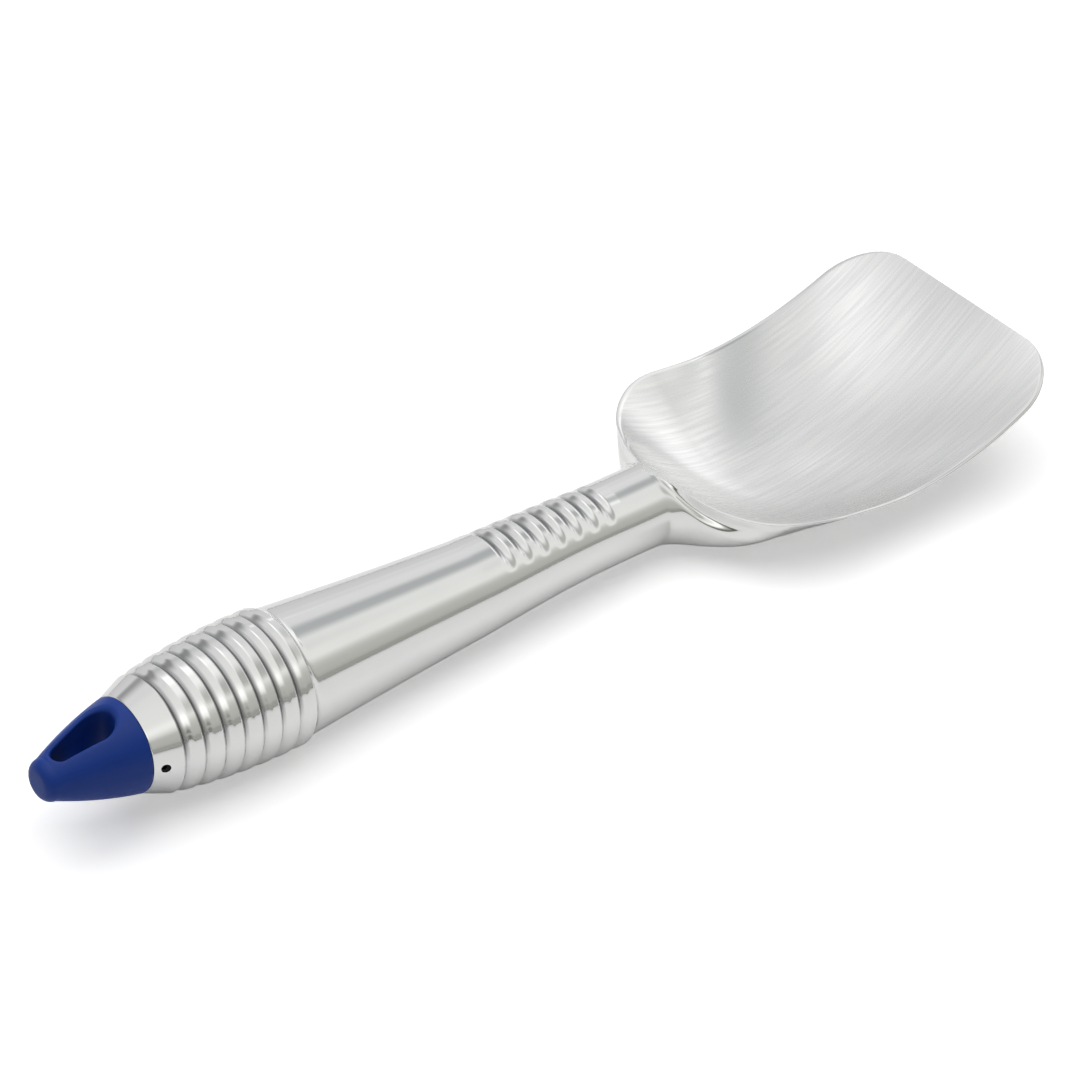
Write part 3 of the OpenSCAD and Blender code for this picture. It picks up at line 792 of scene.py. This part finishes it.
def cap_skin(c):
    """The cap as rings that spread from its hole, mirrored underneath, with the spigot at the joint."""
    cap = Cap(c)
    skin = Skin()
    steps = 40
    towards_joint, far, halvings = 0.6 * MM, 40 * MM, 60
    middle = (c.hole_wide_l + c.hole_narrow_l) / 2 - towards_joint

    def out_from(angle, inside):
        """Farthest distance from the hole's middle along a ray that is still inside."""
        low, high = 0.0, far
        for _ in range(halvings):
            at = (low + high) / 2
            if inside(middle - at * math.cos(angle), at * math.sin(angle)):
                low = at
            else:
                high = at
        return low

    corner = math.atan2(cap.radius(0), middle)
    end = math.atan2(cap.radius(c.length_x), c.length_x - middle)
    key = [-math.pi, -math.pi + end, -corner, corner, math.pi - end, math.pi]
    angles = []
    for a, b, cells in zip(key, key[1:], (4, 74, 36, 74, 4)):
        angles += [a + (b - a) * i / cells for i in range(cells)]

    rows = {1: [], -1: []}
    inner = [out_from(a, lambda l, y: cap.hole_gap(l, y) < 0) for a in angles]
    outer = [out_from(a, lambda l, y: 0 <= l <= c.length_x and abs(y) < cap.radius(l)) for a in angles]
    for k in range(steps + 1):
        t = k / steps
        t = t * t * (3 - 2 * t) * 0.75 + t * 0.25  # closer together at both ends
        ring = []
        for a, lo, hi in zip(angles, inner, outer):
            at = lo + (hi - lo) * t
            l, y = middle - at * math.cos(a), at * math.sin(a)
            l = min(max(l, 0), c.length_x)
            z = cap.height(l, y)
            if k == steps and corner < abs(a) < math.pi - end:
                z = 0.0  # both halves meet at the sides
            ring.append((-l, y, z))
        for half in (1, -1):
            rows[half].append(skin.add(np.array(ring) * (1, 1, half)))
    for half in (1, -1):
        for a, b in zip(rows[half], rows[half][1:]):
            skin.strip(a, b)
    # Wall of the hole
    low, high = (np.concatenate(skin.points)[rows[half][0]] for half in (-1, 1))
    row = rows[-1][0]
    for t in (0.25, 0.5, 0.75):
        row = skin.grow(row, low + (high - low) * t)
    skin.strip(row, rows[1][0])
    # Flat end, then the face at the joint and the spigot with its seal groove
    def outline(spokes):
        return [rows[1][-1][i] for i in spokes] + [rows[-1][-1][i] for i in reversed(spokes[1:-1])]

    close = 1e-9
    at_end = [i for i, a in enumerate(angles) if abs(a) >= math.pi - end - close]
    skin.face(outline(sorted(at_end, key=lambda i: angles[i] % (2 * math.pi))))
    row = np.array(outline([i for i, a in enumerate(angles) if abs(a) <= corner + close]))
    turn = np.concatenate(skin.points)[row]
    turn = np.arctan2(turn[:, 2], turn[:, 1])
    g = c.seal_groove_l / 2
    soft = 0.4 * MM
    for x, d in ((0, c.spigot_d), (c.seal_x - g, c.spigot_d), (c.seal_x - g, c.seal_groove_d),
                 (c.seal_x + g, c.seal_groove_d), (c.seal_x + g, c.spigot_d),
                 (c.spigot_l - soft, c.spigot_d), (c.spigot_l, c.spigot_d - 2 * soft)):
        row = skin.grow(row, section(x, d / 2 * np.cos(turn), d / 2 * np.sin(turn)))
    skin.face(row)
    return skin


# Operators

class SPADE_OT_casting(bpy.types.Operator):
    """Build the blade, neck and handle as one casting"""
    bl_idname = "spade.casting"
    bl_label = "Casting"

    def execute(self, context):
        scene = context.scene
        h, b, look = scene.spade_handle, scene.spade_blade, scene.spade_finish
        mesh = casting_skin(h, b).mesh("Spade casting plain")
        spots = np.array([point.co for point in mesh.vertices])
        # Only the outside of the handle takes grooves, not the bores and not the blade
        clear = 0.5 * MM
        outside = np.hypot(spots[:, 1], spots[:, 2]) > h.socket_d / 2 + clear
        on_handle = (spots[:, 0] > h.pin_x + PIN_WINDOW) & (spots[:, 0] < b.start_x - 2 * clear)
        skin = mesh.attributes.new(GROOVED_SKIN, "FLOAT", "POINT")
        skin.data.foreach_set("value", (outside & on_handle).astype(float))
        lines = mesh.uv_layers.new(name=BRUSH_MAP)
        corners = [loop.vertex_index for loop in mesh.loops]
        lines.data.foreach_set("uv", (spots[corners][:, (1, 0)] / UV_UNIT).ravel())
        tree, inputs = groove_tree(h, scene.spade_rest, polished_aluminium(look), brushed_aluminium(look))
        rough_cast = place(bpy.data.objects.new("plain_casting", mesh))
        press = rough_cast.modifiers.new("Grooves", "NODES")
        press.node_group = tree
        for key, value in inputs.items():
            press[key] = value
        context.view_layer.update()
        done = rough_cast.evaluated_get(context.evaluated_depsgraph_get())
        made = bpy.data.meshes.new_from_object(done)
        bpy.data.objects.remove(rough_cast)
        made.set_sharp_from_angle(angle=SHARP)
        piece = place(bpy.data.objects.new("casting", made))
        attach(piece, BODY)
        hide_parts("spade_casting")
        return {"FINISHED"}


class SPADE_OT_cap(bpy.types.Operator):
    """Build the end cap with its hanging hole and spigot"""
    bl_idname = "spade.cap"
    bl_label = "End Cap"

    def execute(self, context):
        scene = context.scene
        rest = scene.spade_rest
        mesh = cap_skin(scene.spade_cap).mesh("End cap")
        mesh.transform(Matrix.Translation((-rest.middle_x, 0, rest.floor_z)) @ Matrix.Rotation(rest.tilt, 4, "Y"))
        mesh.set_sharp_from_angle(angle=SHARP)
        mesh.materials.append(satin_plastic(scene.spade_finish))
        piece = place(bpy.data.objects.new("cap", mesh))
        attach(piece, BODY)
        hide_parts("end_cap")
        return {"FINISHED"}


class SPADE_OT_inner(bpy.types.Operator):
    """Give the pin, the seal and the fluid their finishes"""
    bl_idname = "spade.inner"
    bl_label = "Inner Pieces"

    def execute(self, context):
        finishes = {
            # Spring steel with a black oxide skin: dark, with a dull metal shine
            "cap_pin": plain_material("Black oxide spring steel", "#2A2A2C", "#1B1B1D", 0.3,
                                      {"Metallic": 1.0, "Roughness": 0.42}),
            # Moulded nitrile rubber: matt black with a faint bloom
            "seal_ring": plain_material("Nitrile rubber", "#191919", "#242424", 0.25,
                                        {"Roughness": 0.7, "IOR": 1.52}),
            # Glycol mix: a pale amber fluid, shown as the body it fills
            "heat_fluid": plain_material("Glycol mix", "#C9A95C", "#BE9C4E", 8.0,
                                         {"Roughness": 0.05, "IOR": 1.43}),
        }
        for node, finish_made in finishes.items():
            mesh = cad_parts[node].data
            mesh.materials.clear()
            mesh.materials.append(finish_made)
        return {"FINISHED"}


# Stage, in metres and linear light

FLOOR_HALF = 6.0
LIFT_SEEN, LIFT_IN_METAL = 0.40, 0.10  # light that the floor adds for the camera and in reflections
CLOTH_HALF, CLOTH_Z = 2.4, 0.35
# Light of the cloth across the handle, from the camera's side to the far side
CLOTH_BANDS = (
    (-2.4, (0.5, 0.5, 0.475)), (-0.8, (0.6, 0.605, 0.57)), (-0.6, (0.66, 0.665, 0.63)),
    (-0.5, (0.75, 0.755, 0.72)), (-0.42, (0.9, 0.905, 0.875)), (-0.35, (1.02, 1.025, 1)),
    (-0.1, (1, 1.005, 0.99)), (0.08, (0.95, 0.955, 0.95)), (0.14, (0.88, 0.885, 0.89)),
    (0.25, (0.89, 0.89, 0.9)), (0.45, (0.84, 0.84, 0.85)), (0.8, (0.8, 0.8, 0.81)),
    (2.4, (0.74, 0.74, 0.75)))
# Soft patches of more or less light on it: middle, reach and strength
CLOTH_PATCHES = (
    ("SUBTRACT", (0.24, 0.05), (0.12, 0.12), (0.41, 0.4, 0.38)),
    ("ADD", (0, 0.15), (0.12, 0.12), 0.39),
    ("ADD", (0.85, 0.25), (0.7, 0.3), 0.29),
    ("SUBTRACT", (-0.35, 0.5), (0.7, 0.3), 0.5),
    ("ADD", (0, 0.05), (0.12, 0.25), 0.24),
    ("ADD", (0.35, 0.1), (0.07, 0.07), 0.45),
    ("SUBTRACT", (0.39, -0.07), (0.07, 0.07), 0.5),
    ("ADD", (0.65, 0.1), (0.4, 0.2), 0.26),
    ("SUBTRACT", (0.1, -0.2), (0.2, 0.2), 0.43),
    ("ADD", (1, 0.5), (0.7, 0.3), 0.4),
    ("ADD", (0.25, 0.35), (0.07, 0.07), 0.38),
    ("ADD", (0.315, -0.035), (0.04, 0.06), 0.45),
    ("ADD", (-0.6, -0.45), (0.6, 0.35), 0.5),
    ("SUBTRACT", (-1.7, -1.1), (1.1, 0.7), (0.4, 0.4, 0.39)))
PATCH_CORE = 0.2  # share of the reach with the full strength
ROOM_FRONT, ROOM_BACK, ROOM_PAST_CAP = (0.42, 0.42, 0.395, 1), (0.74, 0.74, 0.75, 1), (0.16, 0.16, 0.155, 1)
# Camera fitted to the photograph: where it stands, then its right, its up and its view
CAMERA_AT = (-0.57454, -0.71458, 0.71456)
CAMERA_AXES = ((0.77630, -0.63040, -0.00166), (0.38261, 0.46920, 0.79594), (0.50102, 0.61850, -0.60539))


class SPADE_OT_stage(bpy.types.Operator):
    """Build the white floor, the soft lights and the camera"""
    bl_idname = "spade.stage"
    bl_label = "Stage"

    def execute(self, context):
        scene = context.scene
        scene.view_settings.view_transform = "Standard"
        self.floor()
        self.scrim()
        self.world(scene)
        self.lamp()
        self.camera(scene)
        return {"FINISHED"}

    def sheet(self, name, half, height, material):
        mesh = bpy.data.meshes.new(name)
        corners = ((-half, -half), (half, -half), (half, half), (-half, half))
        mesh.from_pydata([(x, y, height) for x, y in corners], [], [(0, 1, 2, 3)])
        mesh.materials.append(material)
        made = place(bpy.data.objects.new(name, mesh))
        return made

    def floor(self):
        """White paper that takes the shadow, lifted to white for the camera and a little for the metal."""
        made, add = fresh("White studio paper")
        path = add("LightPath").outputs
        seen = add("Math", {0: path["Is Camera Ray"], 1: path["Is Transmission Ray"]}, operation="MAXIMUM")
        lift = add("Math", {0: path["Is Glossy Ray"], 1: LIFT_IN_METAL}, operation="MULTIPLY")
        lift = add("Math", {0: seen, 1: LIFT_SEEN, 2: lift}, operation="MULTIPLY_ADD")
        paper = add("BsdfDiffuse", {"Color": linear("#F9F9F9")})
        glow = add("Emission", {"Color": (1, 1, 1, 1), "Strength": lift})
        close_material(made, add("AddShader", {0: paper, 1: glow}))
        self.sheet("studio_floor", FLOOR_HALF, 0.0, made)

    def scrim(self):
        """A lit cloth close over the spade, whose bright and dark places are what the metal mirrors."""
        made, add = fresh("Lit diffusion cloth")
        spot = add("TexCoord").outputs["Object"]
        across = add("SeparateXYZ", {0: spot}).outputs[1]
        light = add("ValToRGB", {0: add("MapRange", {0: across, 1: -CLOTH_HALF, 2: CLOTH_HALF})})
        elements = light.color_ramp.elements
        while len(elements) < len(CLOTH_BANDS):
            elements.new(0.5)
        for element, (y, colour) in zip(elements, CLOTH_BANDS):
            element.position = (y + CLOTH_HALF) / (2 * CLOTH_HALF)
            element.color = (*colour, 1)
        for blend, middle, reach, colour in CLOTH_PATCHES:
            off = add("Mapping", {
                "Vector": spot, "Location": (-middle[0] / reach[0], -middle[1] / reach[1], 0),
                "Scale": (1 / reach[0], 1 / reach[1], 0)})
            far = add("VectorMath", {0: off}, operation="LENGTH")
            share = add("MapRange", {0: far, 1: 1.0, 2: PATCH_CORE}, interpolation_type="SMOOTHSTEP")
            light = add("Mix", {"Factor": share, 6: light, 7: (*np.broadcast_to(colour, 3), 1)},
                        data_type="RGBA", blend_type=blend)
        close_material(made, add("Emission", {"Color": light, "Strength": 1.0}))
        cloth = self.sheet("diffusion_cloth", CLOTH_HALF, CLOTH_Z, made)
        cloth.visible_camera = False
        cloth.visible_diffuse = False
        cloth.visible_shadow = False

    def world(self, scene):
        """The dim room past the edges of the cloth: lighter behind the spade, darkest past the cap."""
        made, add = fresh("Studio", "worlds")
        axes = add("SeparateXYZ", {0: add("TexCoord").outputs["Generated"]}).outputs
        light = ROOM_FRONT
        for axis, start, end, colour in ((1, -0.6, 0.6, ROOM_BACK), (0, -0.5, -0.75, ROOM_PAST_CAP)):
            share = add("MapRange", {0: axes[axis], 1: start, 2: end}, interpolation_type="SMOOTHSTEP")
            light = add("Mix", {"Factor": share, 6: light, 7: colour}, data_type="RGBA")
        add("OutputWorld", {"Surface": add("Background", {"Color": light, "Strength": 1.0})})
        made.cycles_visibility.diffuse = False
        scene.world = made

    def lamp(self):
        """A soft disk for the floor and the plastic. The metal mirrors the cloth in its place."""
        lamp = bpy.data.lights.new("key_softbox", "AREA")
        lamp.shape = "DISK"
        lamp.size = 2.2
        lamp.energy = 22.5
        made = place(bpy.data.objects.new("key_softbox", lamp))
        made.location = (0.03, 0.15, 1.2)
        made.rotation_euler = (-made.location).to_track_quat("-Z", "Y").to_euler()
        made.visible_glossy = False

    def camera(self, scene):
        """A long lens at the photograph's angle."""
        made = bpy.data.cameras.new("Camera")
        made.lens = 200
        made.sensor_width = 36
        made.clip_end = 50
        camera = place(bpy.data.objects.new("Camera", made))
        right, up, ahead = (Vector(axis).normalized() for axis in CAMERA_AXES)
        turn = Matrix((right, up, -ahead)).transposed().to_4x4()
        camera.matrix_world = Matrix.Translation(CAMERA_AT) @ turn
        scene.camera = camera


class SPADE_PT_panel(bpy.types.Panel):
    """Lists the steps that build the spade"""
    bl_label = "Ice Cream Spade"
    bl_idname = "SPADE_PT_panel"
    bl_space_type = "VIEW_3D"
    bl_region_type = "UI"
    bl_category = "Spade"

    def draw(self, context):
        for step in STEPS:
            self.layout.operator(step.bl_idname)
        for name, group in GROUPS.items():
            box = self.layout.box()
            box.label(text=group.__doc__)
            for key in group.__annotations__:
                box.prop(getattr(context.scene, name), key)


STEPS = (SPADE_OT_casting, SPADE_OT_cap, SPADE_OT_inner, SPADE_OT_stage)
GROUPS = {"spade_handle": SpadeHandle, "spade_blade": SpadeBlade, "spade_cap": SpadeCap,
          "spade_finish": SpadeFinish, "spade_rest": SpadeRest}
CLASSES = (*GROUPS.values(), *STEPS, SPADE_PT_panel)


def register():
    for made in CLASSES:
        bpy.utils.register_class(made)
    for name, group in GROUPS.items():
        setattr(bpy.types.Scene, name, bpy.props.PointerProperty(type=group))


def unregister():
    for name in GROUPS:
        delattr(bpy.types.Scene, name)
    for made in reversed(CLASSES):
        bpy.utils.unregister_class(made)


def main():
    register()
    bpy.ops.spade.casting()
    bpy.ops.spade.cap()
    bpy.ops.spade.inner()
    bpy.ops.spade.stage()


if __name__ == "__main__":
    main()
